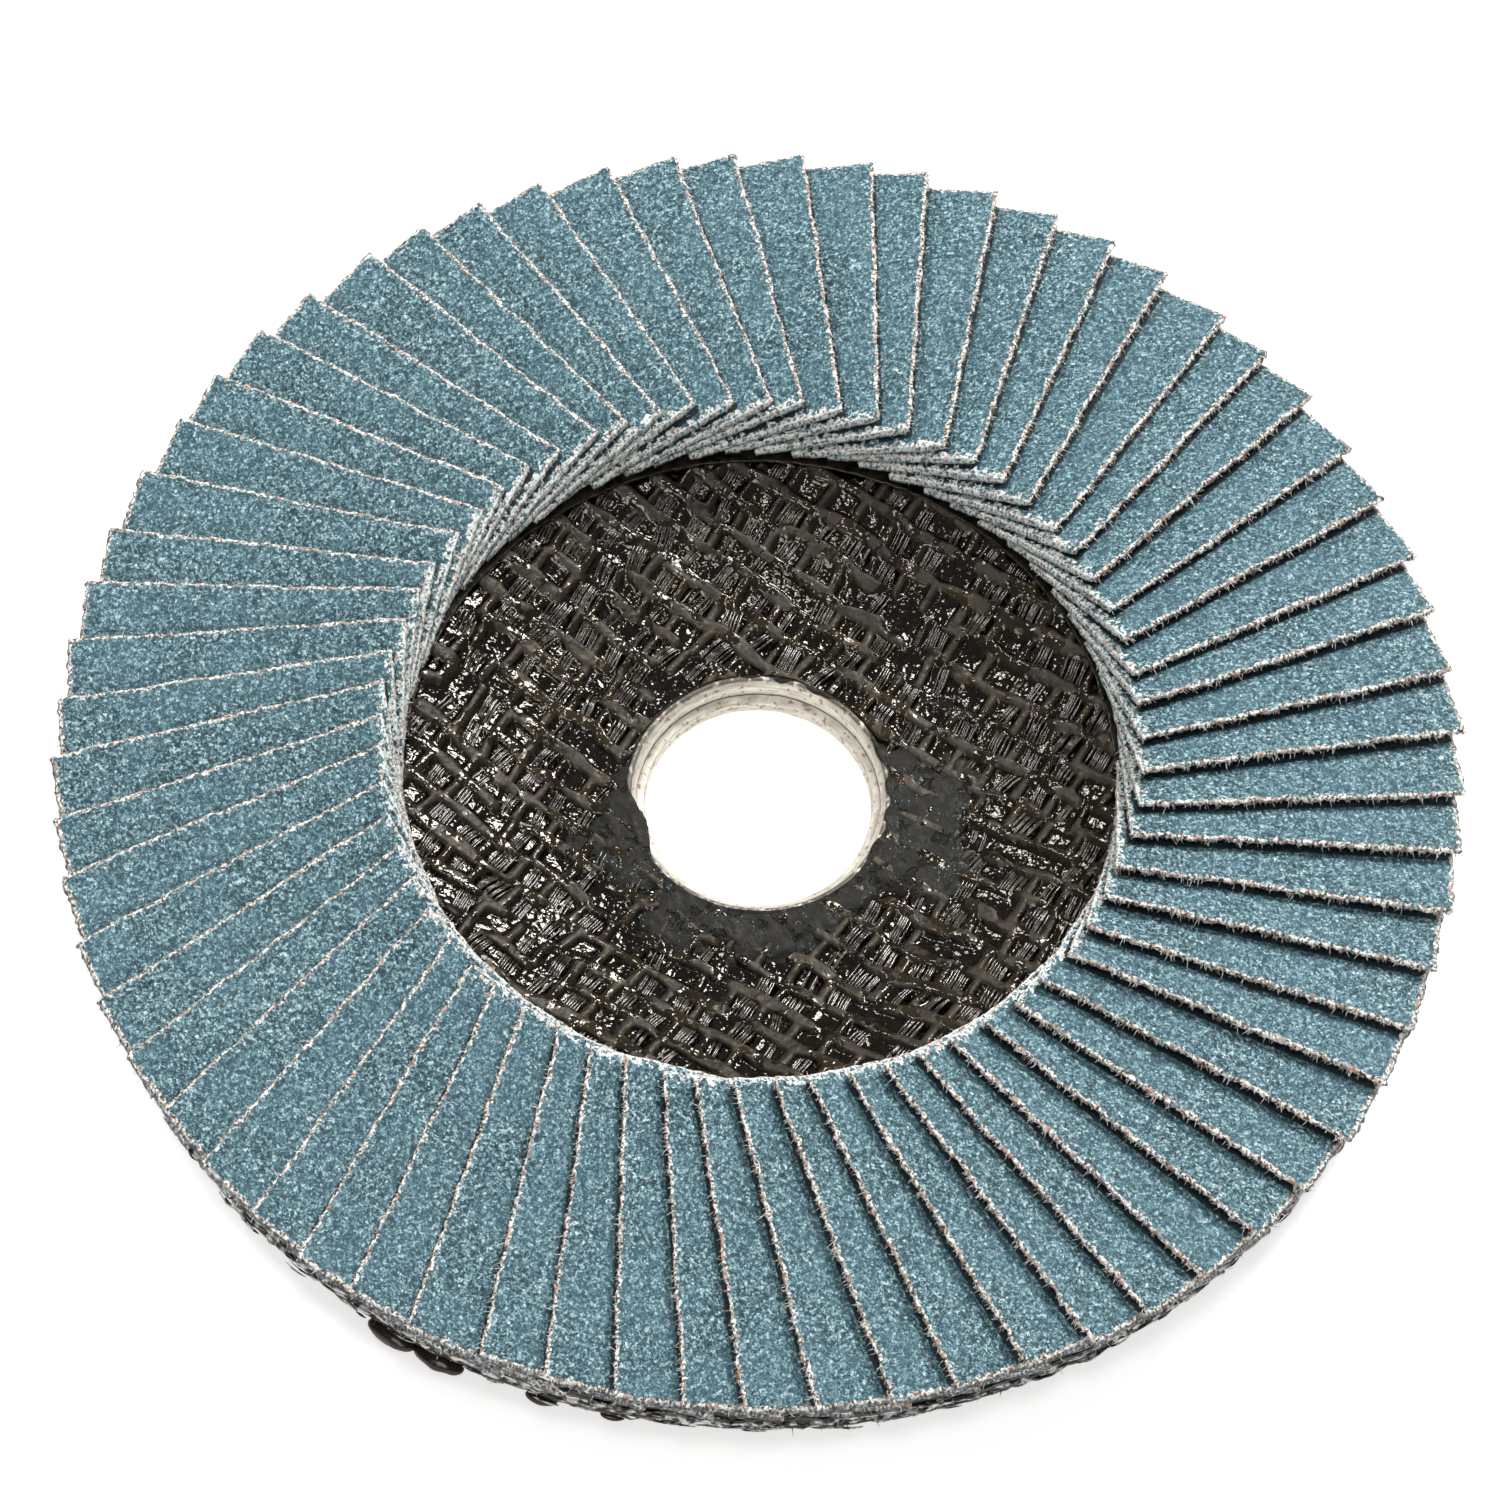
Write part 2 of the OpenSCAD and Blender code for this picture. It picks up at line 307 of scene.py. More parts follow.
def flap_material():
    """Zirconia grain on top, frayed polyester-cotton at the cut edges, and a plain
    woven back. The attribute depth is the way in from the cut edge over the grain,
    and below zero down the cut edge and on to the back. The attribute end is 1 at the
    outer end of a flap, -1 at the inner end and 0 along the free edge. The attribute
    corner is 1 on the grain beside the next flap's edge, where a shadow is painted,
    and -1 on loose threads."""
    s = Shader("abrasive_cloth")
    depth, end = s.attribute("depth"), s.attribute("end")
    # grain
    grit, tone = s.cells(0.20)
    worms = s.noise(0.26, 3, rough=0.62, twist=1.0)
    tone = s.maths("MULTIPLY_ADD", tone, 0.24, -0.24)
    tone = s.maths("MULTIPLY_ADD", worms, 1.55, tone)
    # grain tones in teal; the near-white top of the ramp is painted sparkle on the grains
    blue = s.ramp(tone, [(0.47, (0.006, 0.028, 0.040)), (0.58, (0.050, 0.128, 0.160)),
                         (0.68, (0.112, 0.240, 0.286)), (0.79, (0.25, 0.44, 0.49)),
                         (0.92, (0.72, 0.88, 0.90))])
    blue = s.mix(s.between(grit, 0.36, 0.70, 0, 0.35), blue, (0.008, 0.030, 0.041))
    gaps = s.noise(0.30, 2, rough=0.6, twist=1.2)
    blue = s.mix(s.between(gaps, 0.55, 0.62, 0, 0.9), blue, (0.005, 0.022, 0.032))
    patch = s.noise(5.0, 3)
    blue = s.mix(s.between(patch, 0.3, 0.7, 0.0, 0.3), blue, (0.085, 0.20, 0.25))
    # painted shadow on the grain beside the next flap's cut edge, where that raised edge shades
    # it
    corner = s.maths("ADD", s.attribute("corner"), s.maths("MULTIPLY_ADD", s.noise(0.3, 3),
                                                           0.9, -0.45))
    blue = s.mix(s.between(corner, 0.32, 0.66, 0, 0.93), blue, (0.004, 0.012, 0.017))
    # cut edge: upright tufts of cream cotton with rust and brown between them
    tufts = s.noise(0.20, 3, s.mapped((1.0, 1.0, 0.35)))
    rust = s.noise(0.55, 3, s.mapped((1.0, 1.0, 0.6)))
    cream = s.ramp(tufts, [(0.39, (0.030, 0.022, 0.020)), (0.45, (0.34, 0.25, 0.19)),
                           (0.51, (0.72, 0.65, 0.56)), (0.58, (0.98, 0.96, 0.92))])
    cream = s.mix(s.between(rust, 0.55, 0.63, 0, 0.75), cream, (0.40, 0.22, 0.155))
    cream = s.mix(s.between(s.noise(0.4, 2), 0.54, 0.66, 0, 0.7), cream,
                  (0.10, 0.23, 0.26))
    # inner ends: a pale cut line over teal cloth, with painted shade at the foot where they
    # meet the plate
    inner = s.between(end, -0.7, -0.3, 1, 0)
    rise = s.maths("ADD", depth, s.maths("MULTIPLY_ADD", s.noise(0.45, 3), 0.36, -0.18))
    layer = s.between(s.maths("COSINE", s.maths("MULTIPLY", rise, 12.6)), -0.1, 0.6)
    layer = s.maths("MULTIPLY", layer, s.between(depth, -0.30, -0.20, 0.6, 1.0))
    cloth = s.mix(s.between(tufts, 0.41, 0.55), (0.110, 0.185, 0.200), (0.78, 0.88, 0.86))
    pale = s.mix(s.between(tufts, 0.38, 0.48), (0.50, 0.36, 0.29), (1.0, 0.97, 0.92))
    pale = s.mix(s.between(rust, 0.51, 0.58, 0, 0.75), pale, (0.62, 0.36, 0.26))
    cream = s.mix(inner, cream, s.mix(layer, cloth, pale))
    # painted shade: the inner ends darken to near black low down, where they meet the plate
    foot_shade = s.maths("MULTIPLY", inner, s.between(s.height(), 0.0062, 0.0070, 0.9, 0))
    cream = s.mix(foot_shade, cream, (0.016, 0.015, 0.014))
    side = s.between(depth, -0.14, -0.04, 1, 0)
    # painted shade: the lower part of the cut edge is darkened to near black over the gap
    # beneath it, less on the inner ends
    low = s.maths("MULTIPLY", s.between(depth, -0.72, -0.52, 1, 0),
                  s.maths("MULTIPLY_ADD", inner, -0.60, 0.92))
    # outer ends: dark navy with pale threads, partly the cut cloth's own colour and partly
    # painted shade
    navy = s.ramp(tufts, [(0.42, (0.008, 0.018, 0.030)), (0.54, (0.040, 0.085, 0.115)),
                          (0.63, (0.22, 0.27, 0.29)), (0.72, (0.72, 0.71, 0.69))])
    outer = s.maths("MULTIPLY", s.between(end, 0.3, 0.7), side)
    cream = s.mix(s.maths("MULTIPLY", outer, 0.85), cream, navy)
    cream = s.mix(low, cream, (0.016, 0.014, 0.014))
    loose = s.between(s.attribute("corner"), -0.6, -0.4, 1, 0)
    thread = s.mix(s.between(rust, 0.48, 0.58), (0.92, 0.90, 0.85), (0.50, 0.38, 0.30))
    cream = s.mix(loose, cream, thread)
    # back of the cloth
    warp = s.maths("SINE", s.maths("MULTIPLY", s.noise(1.0, 0), 6.0))
    back = s.mix(s.between(warp, -1, 1), (0.040, 0.055, 0.080), (0.12, 0.145, 0.18))
    wear = s.maths("MULTIPLY", s.noise(0.45, 3), s.maths("MULTIPLY_ADD", inner, 1.8, 0.90))
    wear = s.maths("ADD", wear, s.maths("MULTIPLY_ADD", inner, -0.76, -0.24))
    on_grain = s.between(depth, wear, s.maths("ADD", wear, 0.06))
    on_back = s.between(depth, -0.84, -0.80, 1, 0)
    colour = s.mix(on_grain, cream, blue)
    colour = s.mix(on_back, colour, back)
    rough = s.between(tone, 0.2, 1.0, 0.66, 0.40)
    height = s.maths("SUBTRACT", tone, s.maths("MULTIPLY", grit, 0.4))
    height = s.maths("ADD", height, s.maths("MULTIPLY", tufts,
                                            s.between(depth, -0.1, 0.05, 2.0, 0)))
    normal = s.bump(height, 0.09, 0.9)
    return s.finish(colour, rough, normal, Specular_IOR_Level=0.5)


def mesh_resin_material(name, gloss=0.0):
    """Phenolic resin over an open glass mesh: dull brown skins on the ribs, black
    glossy pools in the windows, partly painted shade in these recesses. The attribute
    relief is 1 on a rib."""
    s = Shader(name)
    relief = s.attribute("relief")
    pools, skin = s.noise(2.2, 4), s.noise(0.5, 3)
    rib = s.mix(s.between(pools, 0.35, 0.65), (0.006, 0.0045, 0.002), (0.027, 0.020, 0.011))
    rib = s.mix(s.between(skin, 0.58, 0.72, 0, 0.5), rib, (0.060, 0.026, 0.010))
    # pools in the windows: black glossy resin, darkened further as painted shade in the
    # recesses
    pool = s.mix(s.between(skin, 0.4, 0.7), (0.001, 0.0008, 0.0006), (0.007, 0.005, 0.003))
    top = s.between(relief, 0.25, 0.75)
    colour = s.mix(top, pool, rib)
    area = s.noise(1.9, 3, twist=0.6)
    matte = s.maths("MULTIPLY", top, s.between(area, 0.44, 0.56, 1, 0))
    rough = s.between(matte, 0.0, 1.0, 0.105 + gloss, 0.56 + gloss)
    streak = s.noise(0.17, 2, s.mapped((0.22, 1.0, 1.0), math.radians(30)))
    height = s.maths("MULTIPLY_ADD", streak, 0.12, s.noise(0.60, 1.6))
    normal = s.bump(height, 0.16, 1.0)
    return s.finish(colour, rough, normal, Specular_IOR_Level=0.66,
                    Specular_Tint=(1.0, 0.93, 0.81, 1.0))


def resin_material(name, dark, light, gloss, fibres=0.5, coat=0.0):
    """Phenolic resin with glass fibre in it, streaked along the fibres."""
    s = Shader(name)
    pools, skin = s.noise(0.8, 4), s.noise(0.5, 3)
    colour = s.mix(s.between(pools, 0.44, 0.58), dark, light)
    colour = s.mix(s.between(skin, 0.55, 0.75, 0, 0.4), colour, (0.085, 0.038, 0.018))
    rough = s.maths("MULTIPLY_ADD", skin, 0.30, gloss - 0.12)
    streak = s.noise(0.16, 2, s.mapped((1.0, 0.25, 1.0), math.radians(30)))
    height = s.maths("MULTIPLY_ADD", streak, fibres, s.maths("MULTIPLY", skin, 0.8))
    normal = s.bump(height, 0.10, 0.8)
    return s.finish(colour, rough, normal, s.bump(skin, 0.06, 1.0),
                    Specular_IOR_Level=0.45, Specular_Tint=(1.0, 0.92, 0.80, 1.0),
                    Coat_Weight=coat, Coat_Roughness=0.12, Coat_IOR=1.75)


def smear_material():
    """Dull charcoal film of cured resin with grit dust caught in it."""
    s = Shader("charcoal_smear")
    base = s.mix(s.noise(1.6, 4), (0.009, 0.008, 0.007), (0.026, 0.024, 0.020))
    dust = s.noise(0.22, 2, rough=0.7)
    patches = s.between(s.noise(2.2, 2), 0.35, 0.65, 0.0, 0.10)
    speck = s.between(s.maths("ADD", dust, patches), 0.695, 0.73)
    tint = s.mix(s.between(s.noise(0.3, 1), 0.45, 0.6), (0.03, 0.10, 0.12), (0.26, 0.36, 0.38))
    colour = s.mix(speck, base, tint)
    # painted shade: the film's sunken pits are coloured near black
    pits = s.between(s.noise(1.1, 3), 0.57, 0.66)
    colour = s.mix(s.maths("MULTIPLY", pits, 0.8), colour, (0.002, 0.002, 0.002))
    rough = s.between(s.noise(0.8, 3), 0.3, 0.7, 0.42, 0.75)
    height = s.maths("ADD", s.noise(0.5, 5), s.maths("MULTIPLY", speck, 0.6))
    height = s.maths("SUBTRACT", height, s.maths("MULTIPLY", pits, 0.8))
    normal = s.bump(height, 0.20, 0.9)
    return s.finish(colour, rough, normal, Specular_IOR_Level=0.25,
                    Specular_Tint=(1.0, 0.95, 0.86, 1.0))


def steel_material():
    """Zinc-plated pressed steel, drawn round the axis, with rust specks."""
    s = Shader("pressed_steel")
    drawn = s.noise(0.35, 4, s.mapped((0.25, 0.25, 3.0)))
    colour = s.mix(s.between(drawn, 0.3, 0.7), (0.50, 0.465, 0.39), (0.74, 0.705, 0.62))
    rust = s.noise(0.42, 4)
    level = s.maths("MULTIPLY_ADD", s.noise(1.3, 2), 0.0002, s.height())
    low = s.maths("MULTIPLY", s.between(level, 0.00120, 0.00130, 0.05, 0.0),
                  s.between(level, 0.00050, 0.00060))
    rusty = s.between(s.maths("ADD", rust, low), 0.59, 0.67, 0, 0.8)
    colour = s.mix(rusty, colour, (0.26, 0.13, 0.085))
    # painted shade: a dark band round the collar, a little above its inner step
    groove_shade = s.maths("MULTIPLY", s.between(level, 0.00133, 0.00137),
                     s.between(level, 0.00148, 0.00158, 1, 0))
    colour = s.mix(s.maths("MULTIPLY", groove_shade, 0.8), colour, (0.060, 0.045, 0.034))
    stain = s.maths("MULTIPLY", s.between(s.height(), 0.00262, 0.00276),
                    s.between(s.noise(0.5, 3), 0.30, 0.50))
    colour = s.mix(s.maths("MULTIPLY", stain, 0.85), colour, (0.060, 0.046, 0.034))
    rough = s.between(s.noise(0.9, 3), 0.3, 0.7, 0.42, 0.66)
    normal = s.bump(s.maths("ADD", drawn, s.maths("MULTIPLY", rust, 0.5)), 0.03, 0.6)
    return s.finish(colour, rough, normal, Metallic=0.45)


def drop_material():
    """Thick dark brown resin, nearly black, with a hard gloss."""
    s = Shader("resin_drop")
    colour = s.mix(s.noise(0.8, 3), (0.006, 0.004, 0.0035), (0.026, 0.011, 0.007))
    normal = s.bump(s.noise(0.5, 3), 0.06, 0.4)
    return s.finish(colour, s.between(s.noise(1.0, 2), 0.3, 0.7, 0.16, 0.30), normal,
                    Specular_IOR_Level=0.3)


FLAP_CLOTH = flap_material()
FRONT_RESIN = mesh_resin_material("front_resin")
REAR_RESIN = mesh_resin_material("rear_resin", 0.08)
BUNDLE_RESIN = resin_material("bundle_resin", (0.004, 0.003, 0.002), (0.060, 0.049, 0.036),
                              0.26, 0.3, coat=0.8)
PLY_EDGE = resin_material("glass_ply_edge", (0.010, 0.013, 0.018), (0.62, 0.62, 0.60), 0.5, 1.0)
BED_RESIN = resin_material("bed_adhesive", (0.004, 0.003, 0.002), (0.020, 0.016, 0.012), 0.30)
SMEAR = smear_material()
STEEL = steel_material()
DROP = drop_material()


# --------------------------------------------------------------------- flaps
# Rows of points along a flap and across it, closest together where it shows
FLAP_U = np.linspace(0, 1, 161)
FLAP_V = np.concatenate([[0, 0.08, 0.17, 0.28, 0.42], np.arange(0.58, 5.3, 0.16),
                         np.arange(5.5, 11.8, 0.32), [FLAP_W - 0.1, FLAP_W]])
# How far down the cut edge each row of points is, and how far it stands out
WALL_PARTS = (0.12, 0.28, 0.45, 0.62, 0.80)
WALL_OUT = (0.00, 0.06, 0.10, 0.07, -0.05)
WALL_DEPTH = 0.8
FLAP_SEED = 4100


def crest_angle(r):
    return CREST_SKEW - np.arcsin(CREST_OFFSET / r)


def grain_z(x, y):
    """Height of the grain of a flap whose inner corner lies at angle 0."""
    r = np.hypot(x, y)
    return (CREST_Z_IN + CREST_SLOPE * (r - CREST_R_IN)
            - FLAP_FALL * (np.arctan2(y, x) - crest_angle(r)))


def flap_topology():
    """Points round a flap's rim, and the faces of its grain side, cut edge and back."""
    nu, nv = len(FLAP_U), len(FLAP_V)
    at = np.arange(nu * nv).reshape(nu, nv)
    loop = np.concatenate([at[:-1, 0], at[-1, :-1], at[:0:-1, -1], at[0, :0:-1]])
    ring, top = len(loop), nu * nv
    levels = len(WALL_PARTS)
    rows = [loop] + [top + k * ring + np.arange(ring) for k in range(levels)]
    bottom = top + levels * ring
    rows.append(loop + bottom)
    walls = [np.stack([a, np.roll(a, -1), np.roll(b, -1), b], axis=-1)[:, ::-1]
             for a, b in zip(rows[:-1], rows[1:])]
    quads = np.concatenate([grid_quads(nu, nv)[:, ::-1], *walls, grid_quads(nu, nv) + bottom])
    return loop, quads


def outward_on_loop():
    nu, nv = len(FLAP_U), len(FLAP_V)
    return np.concatenate([np.tile(-WIDTH_DIR, (nu - 1, 1)), np.tile(CREST_DIR, (nv - 1, 1)),
                           np.tile(WIDTH_DIR, (nu - 1, 1)), np.tile(-CREST_DIR, (nv - 1, 1))])


FLAP_LOOP, FLAP_QUADS = flap_topology()
FLAP_OUT = outward_on_loop()
# 1 on the outer end of the cut edge, -1 on the inner end and 0 on the long edges
LOOP_END = FLAP_OUT @ CREST_DIR
LOOP_END = np.where(np.abs(LOOP_END) > 0.5, LOOP_END, 0.0)
FLAP_JITTER = np.radians(np.random.default_rng(FLAP_SEED).normal(0, 0.22, FLAP_COUNT))
# Part of the cut edge, number of loose threads on it and length of the longest
LOOSE_THREADS = ((slice(0, len(FLAP_U) - 1), 120, 0.34),
                 (slice(len(FLAP_U) - 1, len(FLAP_U) + len(FLAP_V) - 2), 8, 0.40),
                 (slice(2 * len(FLAP_U) + len(FLAP_V) - 3, len(FLAP_LOOP)), 14, 0.24))


def threads(rng, roots, outs, count, longest, droop=-0.15):
    """Loose threads of three-sided tapering tube that stand out of a cut edge."""
    pick = rng.integers(0, len(roots), count)
    root, out = roots[pick], outs[pick]
    side = np.stack([-out[:, 1], out[:, 0]], axis=1)
    length = rng.uniform(0.25, 1.0, count) ** 1.5 * longest
    lean = rng.normal(0, 0.55, count)
    lift = rng.normal(droop, 0.45, count)
    heading = np.concatenate([out * np.cos(lean)[:, None] + side * np.sin(lean)[:, None],
                              lift[:, None]], axis=1)
    bend = rng.normal(0, 0.35, (count, 3))
    steps = np.linspace(-0.2, 1, 4)
    centre = (root[:, None] + heading[:, None] * (steps[None, :, None] * length[:, None, None])
              + bend[:, None] * (np.maximum(steps, 0)[None, :, None] ** 2
                                 * length[:, None, None]))
    thick = rng.uniform(0.025, 0.05, count)[:, None] * np.array([1.0, 1.0, 0.8, 0.35])
    turn = np.arange(3) * 2 * math.pi / 3
    across = np.concatenate([side, np.zeros((count, 1))], axis=1)
    rims = (np.cos(turn)[None, None, :, None] * across[:, None, None]
            + np.sin(turn)[None, None, :, None] * UP)
    points = (centre[:, :, None] + rims * thick[:, :, None, None]).reshape(-1, 3)
    base = np.arange(count)[:, None, None] * 12
    quads = (base + grid_quads(4, 3, wrap=True)).reshape(-1, 4)
    tris = (base + np.array([[0, 2, 1], [9, 10, 11]])).reshape(-1, 3)
    return points, quads, tris


def corner_shade(x, y, span):
    """1 on the grain beside the cut edge of the next flap, which lies span radians
    further round. This sets where the shadow of that edge is painted."""
    c, s = math.cos(span), math.sin(span)
    px, py = c * x + s * y - CREST_R_IN, c * y - s * x
    short = np.maximum(0, -(px * CREST_DIR[0] + py * CREST_DIR[1]))
    before = np.maximum(0, -(px * WIDTH_DIR[0] + py * WIDTH_DIR[1]))
    return step(0.42, 0.06, np.hypot(1.6 * short, before))


def flap_faces(rng, span, seed):
    """The two faces of a flap whose inner corner lies at angle 0, as lists of points.
    Also how far in from the rim, at which end and how near the next flap's edge each point is,
    which sets its painted shadow."""
    skew = math.radians(rng.normal(0, 0.18))
    length = CREST_L + rng.normal(0, 0.10)
    start = rng.normal(0, 0.10)
    lift = rng.uniform(0.0, 0.10)
    u, v = FLAP_U[:, None], FLAP_V[None, :]
    along_mm = start + u * (length - start)
    crest = np.array([CREST_R_IN, 0])[None, :] + along_mm * CREST_DIR
    squeeze = np.cos(np.arctan(FLAP_FALL / np.hypot(crest[:, 0], crest[:, 1])))[:, None]
    # ragged cut lines
    free = 0.11 * cloud(along_mm / 0.45, 0 * along_mm, seed + 1) + 0.09 * value_noise(
        along_mm / 2.3, 0 * along_mm, seed + 2)
    ends = 0.08 * cloud(v / 0.45, 0 * v, seed + 3)
    near_free = step(0.8, 0.0, v)
    along = along_mm + ends * (step(0.9, 1.0, u) - step(0.1, 0.0, u))
    across = v * squeeze + free * near_free + along_mm * math.tan(skew) * near_free * 0.3
    x = CREST_R_IN + along * CREST_DIR[0] + across * WIDTH_DIR[0]
    y = along * CREST_DIR[1] + across * WIDTH_DIR[1]
    # waves, a lifted free edge, and grit
    wave = 0.05 * value_noise(along_mm / 6.0, v / 6.0, seed + 4)
    curl = lift * step(2.5, 0.0, v) * step(0.15, 1.0, u)
    level = grain_z(x, y) + wave + curl
    grit = 0.030 * cloud(x / 0.42, y / 0.42, seed + 5, 2) + rng.normal(0, 0.012, x.shape)
    to_start, to_end = along_mm - start + 0 * v, length - along_mm + 0 * v
    rim = np.minimum(np.minimum(to_start, to_end), v)
    end = np.where(rim == v, 0.0, np.where(to_end < to_start, 1.0, -1.0))
    chamfer = np.where(end < 0, 0.05, 0.13) * step(0.22, 0.0, rim)
    top = np.stack([x, y, level + grit - chamfer], axis=-1)
    # back
    thin = FLAP_T * (0.86 - 0.09 * step(1.6, 0.0, v)
                     + 0.04 * value_noise(along_mm / 2, v / 2, seed + 6))
    upright = thin * np.sqrt(1 + (FLAP_FALL / np.hypot(x, y)) ** 2)
    tuck = 0.18 * step(0.6, 0.0, v)
    bottom = np.stack([x + tuck * WIDTH_DIR[0], y + tuck * WIDTH_DIR[1], level - upright],
                      axis=-1)
    return (top.reshape(-1, 3), bottom.reshape(-1, 3), rim.ravel(), end.ravel(),
            corner_shade(x, y, span).ravel())


def flap_walls(top, bottom, seed):
    """Rows of points down the frayed cut edge, flatter on the inner end."""
    s = np.arange(len(FLAP_LOOP)) * 0.15
    flat = np.where(LOOP_END < 0, 0.7, 1.0)
    walls = []
    for part, out in zip(WALL_PARTS, WALL_OUT):
        edge = top[FLAP_LOOP] * (1 - part) + bottom[FLAP_LOOP] * part
        fray = out + 0.20 * math.sin(math.pi * part) * cloud(
            s / 0.26, np.full(len(s), part * 0.7), seed + 7)
        edge[:, :2] += FLAP_OUT * (flat * fray)[:, None]
        edge[:, 2] += 0.04 * value_noise(s / 0.3, np.full(len(s), part * 3), seed + 8)
        walls.append(edge)
    return walls


def flap(number, node):
    """One flap with its loose threads, turned to its place."""
    rng = np.random.default_rng(FLAP_SEED + number)
    seed = 1000 * number
    jitter, next_jitter = FLAP_JITTER[number - 1], FLAP_JITTER[number % FLAP_COUNT]
    top, bottom, rim, end, corner = flap_faces(rng, PITCH + next_jitter - jitter, seed)
    walls = flap_walls(top, bottom, seed)
    made = [(np.concatenate([top, *walls, bottom]), FLAP_QUADS, NO_TRIS)]
    middle = walls[len(walls) // 2]
    for part, count, longest in LOOSE_THREADS:
        made.append(threads(rng, middle[part], FLAP_OUT[part], count, longest, -0.55))
    points, quads, tris = joined(made)
    loose = len(points) - len(made[0][0])
    wall_depth = [np.full(len(FLAP_LOOP), -WALL_DEPTH * part) for part in WALL_PARTS]
    depth = np.concatenate([np.clip(rim, 0, 3), *wall_depth, -WALL_DEPTH - np.minimum(rim, 1),
                            np.full(loose, -0.4)])
    end = np.concatenate([end, *[LOOP_END] * len(walls), end, np.zeros(loose)])
    plain = len(points) - loose - len(corner)
    corner = np.concatenate([corner, np.zeros(plain), np.full(loose, -1.0)])

    turn = FIRST_TIP - CREST_SWEEP + (number - 1) * PITCH + jitter
    c, s = math.cos(turn), math.sin(turn)
    x, y = points[:, 0].copy(), points[:, 1].copy()
    points[:, 0], points[:, 1] = c * x - s * y, s * x + c * y
    make_piece(f"flap_{number:02d}_cloth", node, "flap_cloth", FLAP_CLOTH, points, quads, tris,
               {"depth": depth, "end": end, "corner": corner})


def flap_node(number):
    """The CAD node that holds a flap. They hold two each, but for the last."""
    first = number if number % 2 else number - 1
    return "flap_65" if first == FLAP_COUNT else f"flaps_{first:02d}_{first + 1:02d}"


# --------------------------------------------------------------------- plate
def rim_front_z(r):
    return KNEE_Z - (r - KNEE_R) * math.tan(RIM_SLOPE)


def front_z(r):
    """Front face of the plate at radius r."""
    return np.interp(r, [0, HUB_R, KNEE_R, PLATE_R],
                     [HUB_T, HUB_T, KNEE_Z, rim_front_z(PLATE_R)])


def back_z(r):
    """Back face of the plate at radius r."""
    drop = 4 * PLY_T
    return np.interp(r, [0, HUB_R, KNEE_R, PLATE_R],
                     [0, 0, KNEE_Z - drop, rim_front_z(PLATE_R) - drop])


class Mesh:
    """An open glass mesh under resin: long ribs one way, links across them."""

    def __init__(self, angle, rib_pitch, link_pitch, seed):
        self.c, self.s = math.cos(angle), math.sin(angle)
        self.rib, self.link, self.seed = rib_pitch, link_pitch, seed

    def warp(self, x, y):
        """How far the mesh is pulled out of square."""
        return (0.55 * value_noise(x / 7, y / 7, self.seed)
                + 0.22 * value_noise(x / 2.4, y / 2.4, self.seed + 9),
                0.50 * value_noise(x / 8, y / 8, self.seed + 1)
                + 0.26 * value_noise(x / 2.6, y / 2.6, self.seed + 2))

    def turned(self, x, y):
        """Mesh coordinates, along the ribs and across them."""
        da, db = self.warp(x, y)
        return x * self.c + y * self.s + da, -x * self.s + y * self.c + db

    def height(self, x, y):
        """Relief over the ply from 0 in a deep window to 1 on a rib."""
        a, b = self.turned(x, y)
        row = np.floor(b / self.rib)
        to_rib = np.abs(b / self.rib - row - 0.5) * self.rib
        to_rib = self.rib / 2 - to_rib
        shift = 0.22 * self.link * (2 * lattice(row, 0 * row, self.seed + 3) - 1)
        cell = np.floor((a + shift) / self.link)
        to_link = (a + shift) / self.link - cell
        to_link = np.minimum(to_link, 1 - to_link) * self.link
        wide = 0.40 + 0.20 * value_noise(x / 1.7, y / 1.7, self.seed + 4)
        weak = step(-0.60, -0.05, value_noise(x / 1.8, y / 1.8, self.seed + 6))
        rib = step(wide + 0.26, wide - 0.10, to_rib) * (0.25 + 0.75 * weak)
        strong = lattice(np.round((a + shift) / self.link), row, self.seed + 5)
        link = step(0.54, 0.14, to_link) * step(0.05, 0.5, strong) * 0.85
        return np.maximum(rib, link)

    def windows(self, r_in, r_out):
        """Centres of the windows between two radii, in mesh coordinates."""
        reach = int(r_out / min(self.rib, self.link)) + 2
        rows, cells = np.meshgrid(np.arange(-reach, reach), np.arange(-reach, reach),
                                  indexing="ij")
        rows, cells = rows.ravel(), cells.ravel()
        shift = 0.22 * self.link * (2 * lattice(rows, 0 * rows, self.seed + 3) - 1)
        a = (cells + 0.5) * self.link - shift
        b = (rows + 0.5) * self.rib
        x, y = self.plan(a, b)
        r = np.hypot(x, y)
        keep = (r > r_in) & (r < r_out)
        return a[keep], b[keep]

    def plan(self, a, b):
        """Plan position of mesh coordinates, undoing the warp."""
        x, y = a * self.c - b * self.s, a * self.s + b * self.c
        for _ in range(3):
            da, db = self.warp(x, y)
            p, q = a - da, b - db
            x, y = p * self.c - q * self.s, p * self.s + q * self.c
        return x, y


FRONT_MESH = Mesh(math.radians(-30), 2.3, 2.6, 300)
REAR_MESH = Mesh(math.radians(12), 2.6, 2.6, 700)


# Angle, half width and reach past the ring of each lobe of the smear on the hub
SMEAR_LOBES = ((-0.16, 0.52, 7.2), (-1.40, 0.95, 4.2), (-2.75, 0.50, 3.6),
               (2 * math.pi - 2.75, 0.50, 3.6))


def smear_amount(x, y):
    """1 where the resin film hides the mesh on the hub, 0 where there is none."""
    r, a = np.hypot(x, y), np.arctan2(y, x)
    base = 8.6
    reach = base
    for at, half_width, size in SMEAR_LOBES:
        reach = np.maximum(reach, base + size * np.exp(-((a - at) / half_width) ** 4))
    reach = reach + 2.6 * cloud(x / 2.4, y / 2.4, 41) * step(base, 10.5, reach)
    return step(1.2, -1.3, r - reach)


